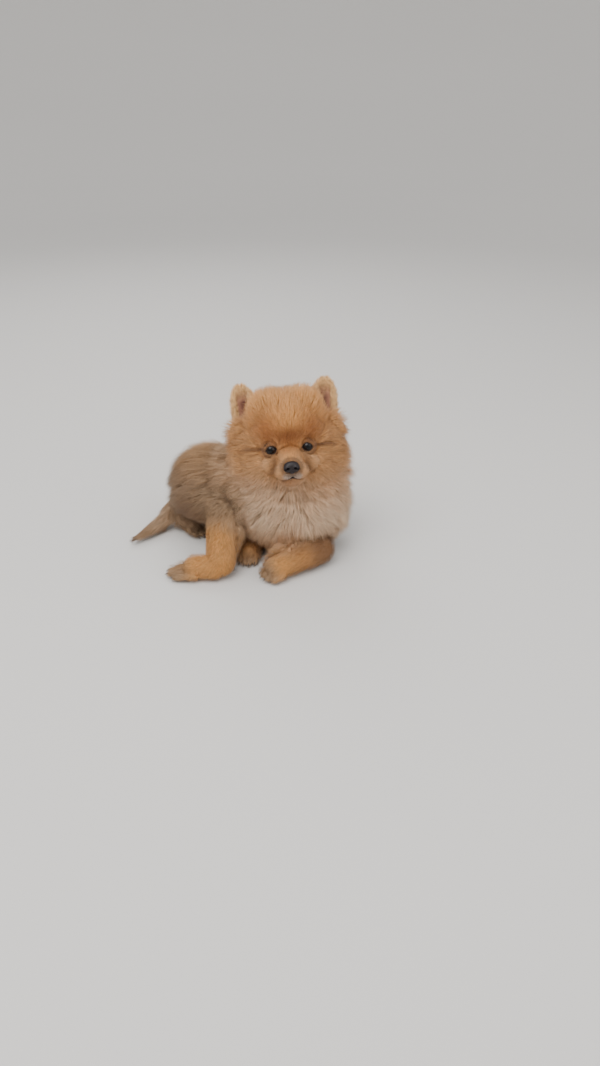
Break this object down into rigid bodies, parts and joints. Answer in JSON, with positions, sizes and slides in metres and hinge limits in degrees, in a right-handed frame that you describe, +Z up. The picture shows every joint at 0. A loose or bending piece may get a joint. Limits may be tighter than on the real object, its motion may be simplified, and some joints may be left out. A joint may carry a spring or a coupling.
{
  "type": "pomeranian puppy",
  "caption": "Still, life-size long-coated toy-breed puppy that lies on the floor on one hip with its head up, forelegs in front and tail laid out.",
  "frame": {"origin": "on the floor under the belly, at the flat that the trunk rests on", "axes": "+Z up, -Y the way the head and chest face, +X the puppy's left side and away from its rump and tail"},
  "size_m": [0.2656, 0.1906, 0.1964],
  "materials": {
    "coat_orange": "orange coat of the head, legs and feet",
    "coat_cream": "cream coat of the ruff",
    "coat_sable": "greyish orange coat of the trunk, thighs and tail",
    "ear_skin": "thin skin of the ears with short hair at the rim",
    "eye": "wet, dark brown eye",
    "nose_leather": "moist black nose leather"
  },
  "bodies": {
    "root": {"head": "coat_orange", "nose": "nose_leather", "eye_left": "eye", "eye_right": "eye", "ear_left": "ear_skin", "ear_right": "ear_skin", "neck": "coat_cream", "torso": "coat_sable", "tail": "coat_sable", "foreleg_left": "coat_orange", "foreleg_right": "coat_orange", "forepaw_left": "coat_orange", "forepaw_right": "coat_orange", "hindleg_left": "coat_sable", "hindleg_right": "coat_sable", "hindpaw_left": "coat_orange", "hindpaw_right": "coat_orange"}
  },
  "joints": []
}
